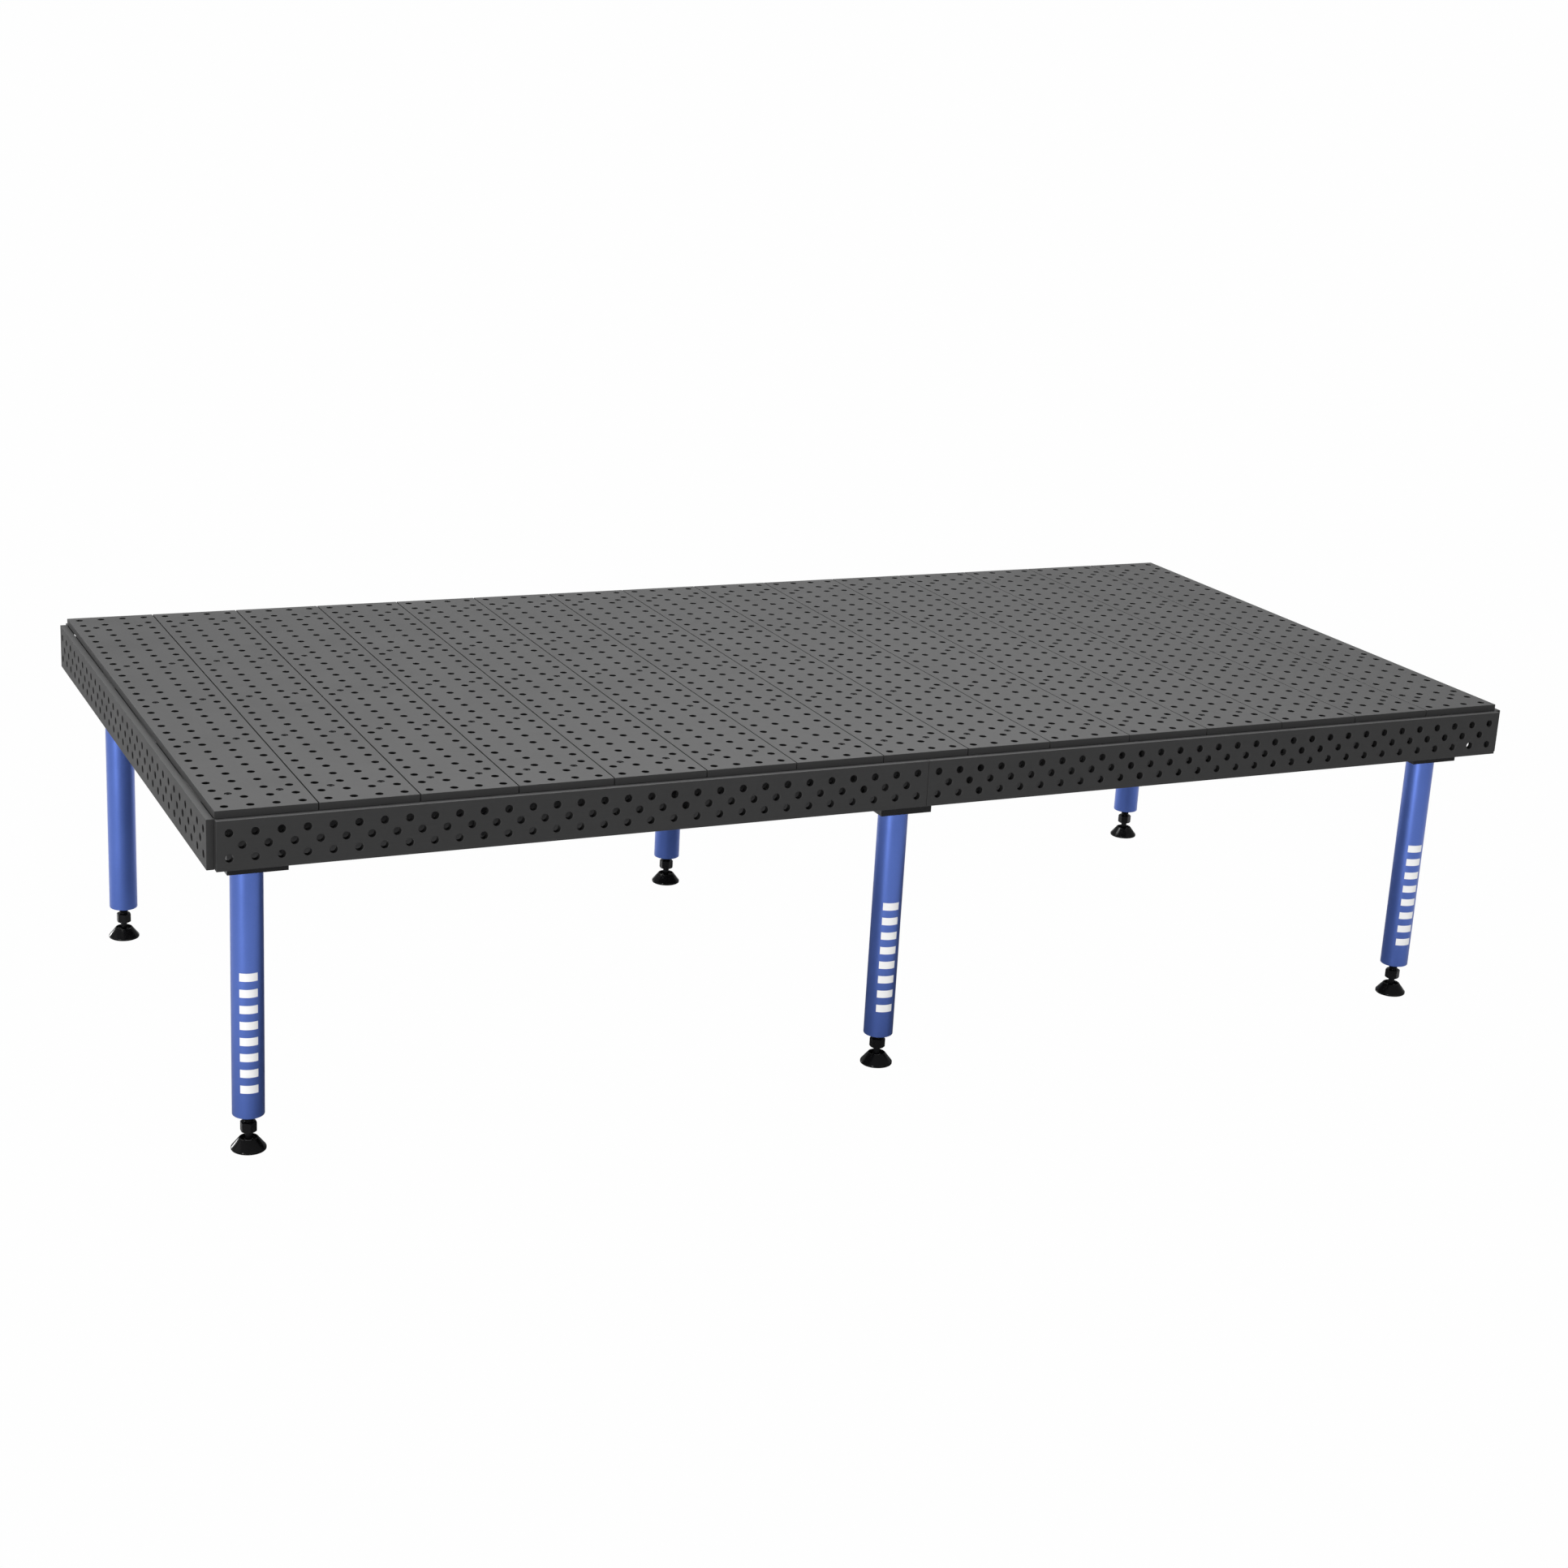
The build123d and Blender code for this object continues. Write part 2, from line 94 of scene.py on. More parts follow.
def finish(name, tones, grain, rough, bump, specular=0.5, metallic=0.0, marks=None):
    """A finish whose colour and gloss drift with a fine grain and with wide clouds.

    tones are its darkest and palest colours, grain its repeats per metre along x, y and z,
    rough its lowest and highest roughness and bump the height of the grain in metres.
    marks gives the colour laid over each kind of marked face, in patches; a mark may stand for real wear or
    for painted shade.
    """
    made = bpy.data.materials.new(name)
    made.use_nodes = True
    nodes = made.node_tree.nodes
    link = made.node_tree.links.new
    shader = nodes["Principled BSDF"]
    shader.inputs["Specular IOR Level"].default_value = specular
    shader.inputs["Metallic"].default_value = metallic
    place = nodes.new("ShaderNodeTexCoord")
    stretch = nodes.new("ShaderNodeMapping")
    stretch.inputs["Scale"].default_value = grain
    link(place.outputs["Object"], stretch.inputs["Vector"])
    fine = nodes.new("ShaderNodeTexNoise")
    fine.inputs["Scale"].default_value = 1
    fine.inputs["Detail"].default_value = GRAIN_DETAIL
    link(stretch.outputs["Vector"], fine.inputs["Vector"])
    clouds = nodes.new("ShaderNodeTexNoise")
    clouds.inputs["Scale"].default_value = CLOUD_SCALE
    clouds.inputs["Detail"].default_value = CLOUD_DETAIL
    clouds.inputs["Roughness"].default_value = CLOUD_ROUGHNESS
    link(place.outputs["Object"], clouds.inputs["Vector"])
    both = nodes.new("ShaderNodeMix")
    both.inputs["Factor"].default_value = CLOUD_SHARE
    link(fine.outputs["Fac"], both.inputs["A"])
    link(clouds.outputs["Fac"], both.inputs["B"])
    ramp = nodes.new("ShaderNodeValToRGB")
    ramp.color_ramp.elements[0].position = NOISE_LOW
    ramp.color_ramp.elements[0].color = tones[0]
    ramp.color_ramp.elements[1].position = NOISE_HIGH
    ramp.color_ramp.elements[1].color = tones[1]
    link(both.outputs["Result"], ramp.inputs["Fac"])
    gloss = nodes.new("ShaderNodeMapRange")
    gloss.inputs["From Min"].default_value = NOISE_LOW
    gloss.inputs["From Max"].default_value = NOISE_HIGH
    gloss.inputs["To Min"].default_value = rough[0]
    gloss.inputs["To Max"].default_value = rough[1]
    link(clouds.outputs["Fac"], gloss.inputs["Value"])
    link(gloss.outputs["Result"], shader.inputs["Roughness"])
    relief = nodes.new("ShaderNodeBump")
    relief.inputs["Strength"].default_value = 1
    relief.inputs["Distance"].default_value = bump
    link(fine.outputs["Fac"], relief.inputs["Height"])
    link(relief.outputs["Normal"], shader.inputs["Normal"])
    colour = ramp.outputs["Color"]
    # Each mark mixes its colour in, in patches: worn chamfers turn paler, and bore walls are painted near
    # black as painted shade.
    for kind, tone in (marks or {}).items():
        mark = nodes.new("ShaderNodeAttribute")
        mark.attribute_name = kind
        patchy = nodes.new("ShaderNodeMath")
        patchy.operation = "MULTIPLY"
        link(mark.outputs["Fac"], patchy.inputs[0])
        link(clouds.outputs["Fac"], patchy.inputs[1])
        wear_and_painted_shade = nodes.new("ShaderNodeMix")
        wear_and_painted_shade.data_type = "RGBA"
        link(patchy.outputs["Value"], wear_and_painted_shade.inputs["Factor"])
        link(colour, wear_and_painted_shade.inputs["A"])
        wear_and_painted_shade.inputs["B"].default_value = tone
        colour = wear_and_painted_shade.outputs["Result"]
    link(colour, shader.inputs["Base Color"])
    return made


def mesh_of(name, points, faces, **marks):
    """A smooth mesh that stays crisp at its edges. Each kind of mark lists the faces that carry it."""
    made = bpy.data.meshes.new(name)
    made.from_pydata(points, [], faces)
    made.shade_smooth()
    made.set_sharp_from_angle(angle=SHARP_ANGLE)
    for kind, marked in marks.items():
        mark = made.attributes.new(kind, "FLOAT", "FACE")
        for face in marked:
            mark.data[face].value = MARK_STRENGTH
    return made


def copies(name, mesh, places):
    """One mesh made of a copy of mesh at each of places, which are matrices."""
    gathered = bmesh.new()
    for place in places:
        one = mesh.copy()
        one.transform(place)
        gathered.from_mesh(one)
        bpy.data.meshes.remove(one)
    made = bpy.data.meshes.new(name)
    gathered.to_mesh(made)
    gathered.free()
    return made


def piece(name, mesh, material, slot, body, *stands_for):
    """A finished piece that rides on body and takes the place of the nodes it stands for."""
    made = bpy.data.objects.new(name, mesh)
    bpy.context.scene.collection.objects.link(made)
    mesh.materials.clear()
    mesh.materials.append(material)
    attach(made, body)
    if stands_for:
        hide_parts(*stands_for)
    return made


def rounded_square(half, radius):
    """The outline of a square with rounded corners, anticlockwise."""
    points = []
    for quarter in range(4):
        turn = quarter * pi / 2
        reach = (half - radius) * sqrt(2)
        centre = (reach * cos(turn + pi / 4), reach * sin(turn + pi / 4))
        for step in range(TUBE_CORNER_STEPS + 1):
            angle = turn + step / TUBE_CORNER_STEPS * pi / 2
            points.append((centre[0] + radius * cos(angle), centre[1] + radius * sin(angle)))
    return points


def square_tube(name, half, length):
    """A length of square tube about the z axis, from -length/2 to length/2."""
    outer = rounded_square(half, TUBE_CORNER)
    inner = rounded_square(half - TUBE_WALL, TUBE_CORNER - TUBE_WALL)
    count = len(outer)
    points = [(x, y, z) for z in (-length / 2, length / 2) for loop in (outer, inner) for x, y in loop]
    faces = []
    for i in range(count):
        j = (i + 1) % count
        faces.append((i, j, 2 * count + j, 2 * count + i))
        faces.append((count + j, count + i, 3 * count + i, 3 * count + j))
        faces.append((j, i, count + i, count + j))
        faces.append((2 * count + i, 2 * count + j, 3 * count + j, 3 * count + i))
    return mesh_of(name, points, faces)


frame_paint = finish("black_frame_paint", (PAINT_DARK, PAINT_PALE), grain=(900, 900, 900), rough=(0.38, 0.55),
                     bump=0.00006)
along_x = Matrix.Rotation(pi / 2, 4, "Y")
along_y = Matrix.Rotation(pi / 2, 4, "X")

for side in ("front", "back"):
    low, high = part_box(f"{side}_beam")
    beam = square_tube(f"{side}_main_beam", (high.z - low.z) / 2, high.x - low.x)
    beam.transform(Matrix.Translation((low + high) / 2) @ along_x)
    piece(f"{side}_main_beam", beam, frame_paint, "frame_black", "table", f"{side}_beam")

low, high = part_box("cross_beams")
cross_half = (high.z - low.z) / 2
cross_beam = square_tube("cross_beam", cross_half, high.y - low.y)
cross_places = [
    Matrix.Translation((x, (low.y + high.y) / 2, (low.z + high.z) / 2)) @ along_y
    for x in (low.x + cross_half, (low.x + high.x) / 2, high.x - cross_half)
]
piece("cross_beam_set", copies("cross_beam_set", cross_beam, cross_places), frame_paint,
      "frame_black", "table", "cross_beams")


def soften(node, material, width):
    """Gives a node its finish, and breaks its sharp edges by width."""
    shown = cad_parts[node]
    shown.data.materials.clear()
    shown.data.materials.append(material)
    weld = shown.modifiers.new("joined_faces", "WELD")
    weld.merge_threshold = JOINED_WITHIN
    ease = shown.modifiers.new("broken_edges", "BEVEL")
    ease.width = width
    ease.segments = 2
    ease.limit_method = "ANGLE"
    ease.angle_limit = BROKEN_ANGLE
    ease.harden_normals = True


soften("beam_end_caps", frame_paint, SECTION_EDGE)

# ================================================================ bearers and gussets
# Flat bars stand on edge in the two bays and carry the planks; short flats weld the side plates to
# the frame. They are hot rolled stock, sprayed with the frame.
for node in ("deck_bearers", "plate_gussets"):
    soften(node, frame_paint, SECTION_EDGE)

# ================================================================ deck planks
# Fifteen planks of 15 mm steel, ground and nitrided to a dull dark grey, lie across the frame. Each is
# drilled with 16 mm fixture holes on a 50 mm grid and ten counterbored screw holes. The chamfers of
# holes and edges are rubbed a little paler, and the bore walls are painted near black as painted
# shade down the holes.
HOLE_STEPS = 24
QUARTER = HOLE_STEPS // 4
HOLE_R = 0.008
HOLE_PITCH = 0.05
HOLES_ACROSS = 4
HOLES_ALONG = 30
PLANK_COUNT = 15
MIDDLE_PLANK = 8
TOUCHING = 1e-7
ON_ROW = 1e-6
DECK_CHAMFER = 0.0003
EDGE_CHAMFER = 0.0004
SCREW_ROWS = (-0.65, -0.3, 0.0, 0.3, 0.65)
SCREW_GAUGE = 0.05
COUNTERBORE_R = 0.0075
COUNTERBORE_DEPTH = 0.009
SCREW_HOLE_R = 0.0045
STEEL_DARK = (0.0305, 0.0305, 0.0307, 1)
STEEL_PALE = (0.0350, 0.0350, 0.0353, 1)
STEEL_WORN = (0.046, 0.046, 0.0465, 1)
# painted shade: a near-black colour laid on the walls of every bore, standing in for the shade down the holes
STEEL_PAINTED_SHADE = (0.007, 0.007, 0.007, 1)
STEEL_MARKS = {"worn": STEEL_WORN, "bored": STEEL_PAINTED_SHADE}


def drilled_face(lines_x, lines_y, radii):
    """A flat face cut up along lines_x and lines_y, with round holes at crossings of the lines.

    radii gives each holed crossing's radius. Every cell of the grid touches one hole, or two at
    opposite corners. Returns the points, the faces, each hole's ring of points and the outline.
    """
    points, faces, known = [], [], {}

    def point(key, x, y):
        if key not in known:
            known[key] = len(points)
            points.append((x, y))
        return known[key]

    def on_rim(corner, step):
        step %= HOLE_STEPS
        angle = step * 2 * pi / HOLE_STEPS
        x, y = lines_x[corner[0]], lines_y[corner[1]]
        radius = radii[corner]
        return point((corner, step), x + radius * cos(angle), y + radius * sin(angle))

    def on_line(i, j, share_x, share_y, far_i, far_j):
        x = lines_x[i] + (lines_x[far_i] - lines_x[i]) * share_x
        y = lines_y[j] + (lines_y[far_j] - lines_y[j]) * share_y
        return point((round(x, 6), round(y, 6)), x, y)

    for i in range(len(lines_x) - 1):
        for j in range(len(lines_y) - 1):
            corners = [(i, j), (i + 1, j + 1), (i + 1, j), (i, j + 1)]
            holed = [corner for corner in corners if corner in radii]
            near = max(holed, key=lambda corner: (radii[corner], corner))
            far = (2 * i + 1 - near[0], 2 * j + 1 - near[1])
            east, north = far[0] > near[0], far[1] > near[1]
            start = {(True, True): 0, (False, True): 2, (False, False): 2, (True, False): 4}[east, north]
            way = 1 if east == north else -1
            arc = [on_rim(near, start * QUARTER + way * k) for k in range(QUARTER + 1)]
            beside = on_line(*near, 1, 0, *far)
            above = on_line(*near, 0, 1, *far)
            if far in radii:
                facing = [on_rim(far, (start + 3 * way) * QUARTER - way * k) for k in range(QUARTER + 1)]
                found = [(arc[k], facing[k], facing[k + 1], arc[k + 1]) for k in range(QUARTER)]
                found.append((arc[0], beside, facing[0]))
                found.append((arc[QUARTER], facing[QUARTER], above))
            else:
                half = QUARTER // 2
                border = [on_line(*near, 1, k / half, *far) for k in range(half + 1)]
                border += [on_line(*near, 1 - k / half, 1, *far) for k in range(1, half + 1)]
                found = [(arc[k], border[k], border[k + 1], arc[k + 1]) for k in range(QUARTER)]
            faces += found if way > 0 else [tuple(reversed(face)) for face in found]
    rings = {corner: [known[corner, step] for step in range(HOLE_STEPS)] for corner in radii}
    west, east, south, north = lines_x[0], lines_x[-1], lines_y[0], lines_y[-1]
    rim = [n for n, (x, y) in enumerate(points) if min(x - west, east - x, y - south, north - y) < TOUCHING]

    def way_round(n):
        x, y = points[n]
        if y - south < TOUCHING and east - x > TOUCHING:
            return 0, x
        if east - x < TOUCHING and north - y > TOUCHING:
            return 1, y
        if north - y < TOUCHING and x - west > TOUCHING:
            return 2, -x
        return 3, -y

    return points, faces, rings, sorted(rim, key=way_round)


def drilled_plate(name, lines_x, lines_y, thickness, bores):
    """A plate from z = 0 to its thickness, with chamfered edges.

    bores gives, at crossings of the lines, each hole's radii and heights from the top face down.
    """
    def inset(lines):
        return [lines[0] + EDGE_CHAMFER, *lines[1:-1], lines[-1] - EDGE_CHAMFER]

    top = drilled_face(inset(lines_x), inset(lines_y), {c: bore[0][0] for c, bore in bores.items()})
    under = drilled_face(inset(lines_x), inset(lines_y), {c: bore[-1][0] for c, bore in bores.items()})
    points = [(x, y, thickness) for x, y in top[0]] + [(x, y, 0) for x, y in under[0]]
    shift = len(top[0])
    faces = list(top[1]) + [tuple(n + shift for n in reversed(face)) for face in under[1]]
    worn, bored, plain = [], [], []

    def join(upper, lower, marked):
        count = len(upper)
        for k in range(count):
            following = (k + 1) % count
            marked.append(len(faces))
            faces.append((upper[k], upper[following], lower[following], lower[k]))

    for corner, bore in bores.items():
        x, y = lines_x[corner[0]], lines_y[corner[1]]
        rings = [top[2][corner]]
        for radius, height in bore[1:-1]:
            rings.append(range(len(points), len(points) + HOLE_STEPS))
            for step in range(HOLE_STEPS):
                angle = step * 2 * pi / HOLE_STEPS
                points.append((x + radius * cos(angle), y + radius * sin(angle), height))
        rings.append([n + shift for n in under[2][corner]])
        # chamfer rings are marked as worn; the bore walls between them are marked for painted shade, darkened
        # near black
        for k in range(len(rings) - 1):
            join(rings[k], rings[k + 1], worn if k in (0, len(rings) - 2) else bored)

    def full_size(n):
        x, y, _ = points[n]
        reach = 1.5 * EDGE_CHAMFER
        out = []
        for value, lines in ((x, lines_x), (y, lines_y)):
            if value - lines[0] < reach:
                value = lines[0]
            if lines[-1] - value < reach:
                value = lines[-1]
            out.append(value)
        return out

    outline = top[3]
    loops = [outline]
    for height in (thickness - EDGE_CHAMFER, EDGE_CHAMFER):
        loops.append(range(len(points), len(points) + len(outline)))
        points += [(*full_size(n), height) for n in outline]
    loops.append([n + shift for n in under[3]])
    for k in range(3):
        join(loops[k + 1], loops[k], plain if k == 1 else worn)
    return mesh_of(name, points, faces, worn=worn, bored=bored)


def chamfered_bore(radius, thickness, chamfer):
    """A plain through hole with a chamfer at each face."""
    return [
        (radius + chamfer, thickness),
        (radius, thickness - chamfer),
        (radius, chamfer),
        (radius + chamfer, 0),
    ]


def grid_lines(length, count):
    """Lines half a hole pitch apart, with the outer two at the edges of a plate of that length."""
    inner = [(k - count / 2) * HOLE_PITCH / 2 for k in range(1, count)]
    return [-length / 2, *inner, length / 2]


low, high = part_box("deck_plank_01")
plank_size = high - low
plank_x = grid_lines(plank_size.x, 2 * HOLES_ACROSS)
plank_y = grid_lines(plank_size.y, 2 * HOLES_ALONG)
plank_bores = {}
for i, x in enumerate(plank_x):
    for j, y in enumerate(plank_y):
        if i % 2 and j % 2:
            plank_bores[i, j] = chamfered_bore(HOLE_R, plank_size.z, DECK_CHAMFER)
        elif abs(abs(x) - SCREW_GAUGE) < ON_ROW and min(abs(y - row) for row in SCREW_ROWS) < ON_ROW:
            floor_z = plank_size.z - COUNTERBORE_DEPTH
            plank_bores[i, j] = [
                (COUNTERBORE_R + DECK_CHAMFER, plank_size.z),
                (COUNTERBORE_R, plank_size.z - DECK_CHAMFER),
                (COUNTERBORE_R, floor_z),
                (SCREW_HOLE_R, floor_z),
                (SCREW_HOLE_R, DECK_CHAMFER),
                (SCREW_HOLE_R + DECK_CHAMFER, 0),
            ]
plank_mesh = drilled_plate("plank", plank_x, plank_y, plank_size.z, plank_bores)
plank_steel = finish("ground_plank_steel", (STEEL_DARK, STEEL_PALE), grain=(500, 14, 500), rough=(0.5, 0.6),
                     bump=0.000008, specular=0.2, marks=STEEL_MARKS)

for number in range(1, PLANK_COUNT + 1):
    node = f"deck_plank_{number:02d}"
    low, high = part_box(node)
    plank = plank_mesh.copy()
    plank.transform(Matrix.Translation(((low.x + high.x) / 2, (low.y + high.y) / 2, low.z)))
    piece(f"plank_{number:02d}", plank, plank_steel, "table_steel", "table", node)

# ================================================================ side plates
# Six 100 mm plates of the same steel hang under the deck's edge, two to each long side and one to
# each end, with three staggered rows of fixture holes. They are welded to the gussets behind.
SIDE_CHAMFER = 0.0008
SIDE_ROWS = 3

low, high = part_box("front_plate_left")
side_size = Vector((high.x - low.x, high.z - low.z, high.y - low.y))
side_x = grid_lines(side_size.x, 2 * HOLES_ALONG)
side_y = grid_lines(side_size.y, SIDE_ROWS + 1)
side_bores = {}
for i in range(1, 2 * HOLES_ALONG):
    for j in range(1, SIDE_ROWS + 1):
        if i % 2 == j % 2:
            side_bores[i, j] = chamfered_bore(HOLE_R, side_size.z, SIDE_CHAMFER)
side_mesh = drilled_plate("side_plate", side_x, side_y, side_size.z, side_bores)
side_steel = finish("ground_side_steel", (STEEL_DARK, STEEL_PALE), grain=(14, 14, 500), rough=(0.5, 0.6),
                    bump=0.000008, specular=0.2, marks=STEEL_MARKS)

# each plate's outward direction, then the direction its length runs in
FACINGS = {
    "front_plate_left": ((0, -1, 0), (1, 0, 0)),
    "front_plate_right": ((0, -1, 0), (1, 0, 0)),
    "back_plate_left": ((0, 1, 0), (-1, 0, 0)),
    "back_plate_right": ((0, 1, 0), (-1, 0, 0)),
    "left_end_plate": ((-1, 0, 0), (0, -1, 0)),
    "right_end_plate": ((1, 0, 0), (0, 1, 0)),
}
for node, (outward, run) in FACINGS.items():
    low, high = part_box(node)
    outward = Vector(outward)
    turn = Matrix((Vector(run), Vector((0, 0, 1)), outward)).transposed().to_4x4()
    inner_face = (low + high) / 2 - outward * side_size.z / 2
    plate = side_mesh.copy()
    plate.transform(Matrix.Translation(inner_face) @ turn)
    piece(f"{node}_steel", plate, side_steel, "table_steel", "table", node)

# ================================================================ corner welds
# Four short beads of weld, run by hand up the inside of the corners where the side plates meet and
# painted with the frame.
BEAD_R = 0.0045
BEAD_RIPPLE = 0.0004
BEAD_STEPS = 75
BEAD_INSET = 0.0035
BEAD_END = 0.6
BEAD_ROUND_STEPS = 20


def turned(name, rows, steps):
    """A closed shape turned about the z axis. A row is a radius and height, or gives them for an angle."""
    points, faces, rings = [], [], []
    for row in rows:
        start = len(points)
        if not callable(row) and row[0] == 0:
            points.append((0, 0, row[1]))
            rings.append([start] * steps)
            continue
        for step in range(steps):
            angle = step * 2 * pi / steps
            radius, height = row(angle) if callable(row) else row
            points.append((radius * cos(angle), radius * sin(angle), height))
        rings.append(list(range(start, start + steps)))
    for upper, lower in zip(rings, rings[1:]):
        for step in range(steps):
            following = (step + 1) % steps
            face = (upper[step], lower[step], lower[following], upper[following])
            faces.append(tuple(dict.fromkeys(face)))
    return mesh_of(name, points, faces)


low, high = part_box("left_end_plate")
bead_length = high.z - low.z
bead_rows = [(0, bead_length)]
for step in range(BEAD_STEPS, -1, -1):
    ripple = BEAD_RIPPLE * abs(sin(step * pi / 3))
    end_round = BEAD_END if step in (0, BEAD_STEPS) else 1
    bead_rows.append(((BEAD_R - ripple) * end_round, bead_length * step / BEAD_STEPS))
bead_rows.append((0, 0))
bead_places = [
    Matrix.Translation((x, y, low.z))
    for x in (low.x + side_size.z + BEAD_INSET, -low.x - side_size.z - BEAD_INSET)
    for y in (low.y + BEAD_INSET, high.y - BEAD_INSET)
]
bead = turned("corner_weld", bead_rows, BEAD_ROUND_STEPS)
piece("corner_weld_set", copies("corner_weld_set", bead, bead_places), frame_paint, "frame_black", "table")

# ================================================================ deck screws
# Dull black M8 socket head screws hold each plank at ten places, with their heads a millimetre under
# the deck's face. The heads are cold formed, with a rolled top edge and a punched hexagon socket.
HEAD_R = 0.0065
HEAD_HEIGHT = 0.008
HEAD_EDGE = 0.0008
SHANK_R = 0.004
SHANK_LENGTH = 0.016
SOCKET_FLATS = 0.006
SOCKET_DEPTH = 0.004
SCREW_STEPS = 24
OXIDE_DARK = (0.0022, 0.0022, 0.0025, 1)
OXIDE_PALE = (0.0055, 0.0055, 0.006, 1)


def hexagon_radius(flats, angle):
    """How far a hexagon of that width across its flats reaches at an angle."""
    return flats / 2 / cos((angle + pi / 6) % (pi / 3) - pi / 6)


def six_sided(flats, height):
    """A level row of points round a hexagon of that width across its flats."""
    def row(angle):
        return hexagon_radius(flats, angle), height
    return row


low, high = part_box("deck_screws")
screw_seat = high.z - HEAD_HEIGHT
screw_profile = [
    (0, HEAD_HEIGHT - SOCKET_DEPTH),
    six_sided(SOCKET_FLATS, HEAD_HEIGHT - SOCKET_DEPTH),
    six_sided(SOCKET_FLATS, HEAD_HEIGHT - HEAD_EDGE / 3),
    six_sided(SOCKET_FLATS + HEAD_EDGE / 2, HEAD_HEIGHT),
    (HEAD_R - HEAD_EDGE, HEAD_HEIGHT),
    (HEAD_R - HEAD_EDGE / 3, HEAD_HEIGHT - HEAD_EDGE / 3),
    (HEAD_R, HEAD_HEIGHT - HEAD_EDGE),
    (HEAD_R, 0),
    (SHANK_R, 0),
    (SHANK_R, -SHANK_LENGTH),
    (0, -SHANK_LENGTH),
]
screw = turned("screw", screw_profile, SCREW_STEPS)
plank_middles = [(n - MIDDLE_PLANK) * HOLES_ACROSS * HOLE_PITCH for n in range(1, PLANK_COUNT + 1)]
screw_places = [
    Matrix.Translation((plank_x_middle + side * SCREW_GAUGE, row, screw_seat))
    for plank_x_middle in plank_middles for side in (-1, 1) for row in SCREW_ROWS
]
screw_oxide = finish("black_oxide", (OXIDE_DARK, OXIDE_PALE), grain=(1500, 1500, 1500), rough=(0.36, 0.5),
                     bump=0.00001, specular=0.12)
piece("deck_screw_set", copies("deck_screw_set", screw, screw_places), screw_oxide,
      "screw_black", "table", "deck_screws")

# ================================================================ leg flanges
# A square plate stands between each leg and its main beam, bolted up with four countersunk screws.
# The plates are black-lacquered, with a fairly high gloss on their sawn edges.
FLANGE_DARK = (0.0035, 0.0035, 0.004, 1)
FLANGE_PALE = (0.008, 0.008, 0.0085, 1)
LEG_NAMES = [f"{row}_{place}" for row in ("front", "back") for place in ("left", "middle", "right")]
FLANGE_SCREW_GAUGE = 0.045
SINK_R = 0.012
SINK_SHANK_R = 0.006
SINK_LENGTH = 0.035
SINK_FLATS = 0.008
SINK_SOCKET = 0.0045
SINK_LAND = 0.0004
SINK_EDGE = 0.0003
SINK_FLARE = 0.0006
SINK_STEPS = 36
FLANGE_EDGE = 0.0006

flange_lacquer = finish("black_lacquer", (FLANGE_DARK, FLANGE_PALE), grain=(700, 700, 700), rough=(0.2, 0.34),
                        bump=0.00003, specular=0.2)
sink_profile = [
    (0, SINK_LENGTH),
    (SINK_SHANK_R, SINK_LENGTH),
    (SINK_SHANK_R, SINK_R - SINK_SHANK_R),
    (SINK_R, SINK_LAND),
    (SINK_R - SINK_EDGE, 0),
    six_sided(SINK_FLATS + SINK_FLARE, 0),
    six_sided(SINK_FLATS, SINK_LAND),
    six_sided(SINK_FLATS, SINK_SOCKET),
    (0, SINK_SOCKET),
]
sink_screw = turned("sink_screw", sink_profile, SINK_STEPS)
sink_places = []
for leg in LEG_NAMES:
    soften(f"leg_flange_{leg}", flange_lacquer, FLANGE_EDGE)
    low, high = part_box(f"leg_flange_{leg}")
    for dx in (-FLANGE_SCREW_GAUGE, FLANGE_SCREW_GAUGE):
        for dy in (-FLANGE_SCREW_GAUGE, FLANGE_SCREW_GAUGE):
            place = ((low.x + high.x) / 2 + dx, (low.y + high.y) / 2 + dy, low.z)
            sink_places.append(Matrix.Translation(place))
piece("leg_screw_set", copies("leg_screw_set", sink_screw, sink_places), screw_oxide,
      "screw_black", "table", "leg_screws")

# ================================================================ leg tubes
# Round steel tube, welded up to its flange, then powder coated a clear mid blue. The lower rim is
# turned slightly round, and a threaded disc is pressed in flush with it to take the foot.
TUBE_R = 0.0325
TUBE_BORE_R = 0.0285
RIM_ROUND = 0.0015
RIM_STEPS = 4
BORE_EDGE = 0.0003
BLUE_DEEP = (0.090, 0.160, 0.51, 1)
BLUE_CLEAR = (0.102, 0.178, 0.56, 1)
LEG_STEPS = 96

leg_powder = finish("blue_powder_coat", (BLUE_DEEP, BLUE_CLEAR), grain=(420, 420, 420), rough=(0.31, 0.39),
                    bump=0.00005, specular=0.5, metallic=0.65)
for leg in LEG_NAMES:
    low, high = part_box(f"leg_tube_{leg}")
    tube_profile = [(TUBE_BORE_R, high.z), (TUBE_R, high.z), (TUBE_R, low.z + RIM_ROUND)]
    for step in range(1, RIM_STEPS + 1):
        angle = step / RIM_STEPS * pi / 2
        tube_profile.append((TUBE_R - RIM_ROUND * (1 - cos(angle)), low.z + RIM_ROUND * (1 - sin(angle))))
    tube_profile += [(TUBE_BORE_R + BORE_EDGE, low.z), (TUBE_BORE_R, low.z + BORE_EDGE), (TUBE_BORE_R, high.z)]
    tube = turned(f"leg_{leg}", tube_profile, LEG_STEPS)
    tube.transform(Matrix.Translation(((low.x + high.x) / 2, (low.y + high.y) / 2, 0)))
    piece(f"leg_{leg}", tube, leg_powder, "leg_blue", "table", f"leg_tube_{leg}")

# ================================================================ leg end plugs
# Turned discs of bright steel, threaded for the foot and pressed into the tubes' lower ends, flush
# with their rims. Their edges are lightly eased, and the mouth of the thread is chamfered.
PLUG_THREAD_R = 0.01008
PLUG_HEIGHT = 0.03
PLUG_CHAMFER = 0.0015
PLUG_EASE = 0.0003
PLUG_STEPS = 64
BRIGHT_DARK = (0.26, 0.26, 0.27, 1)
BRIGHT_PALE = (0.36, 0.36, 0.37, 1)


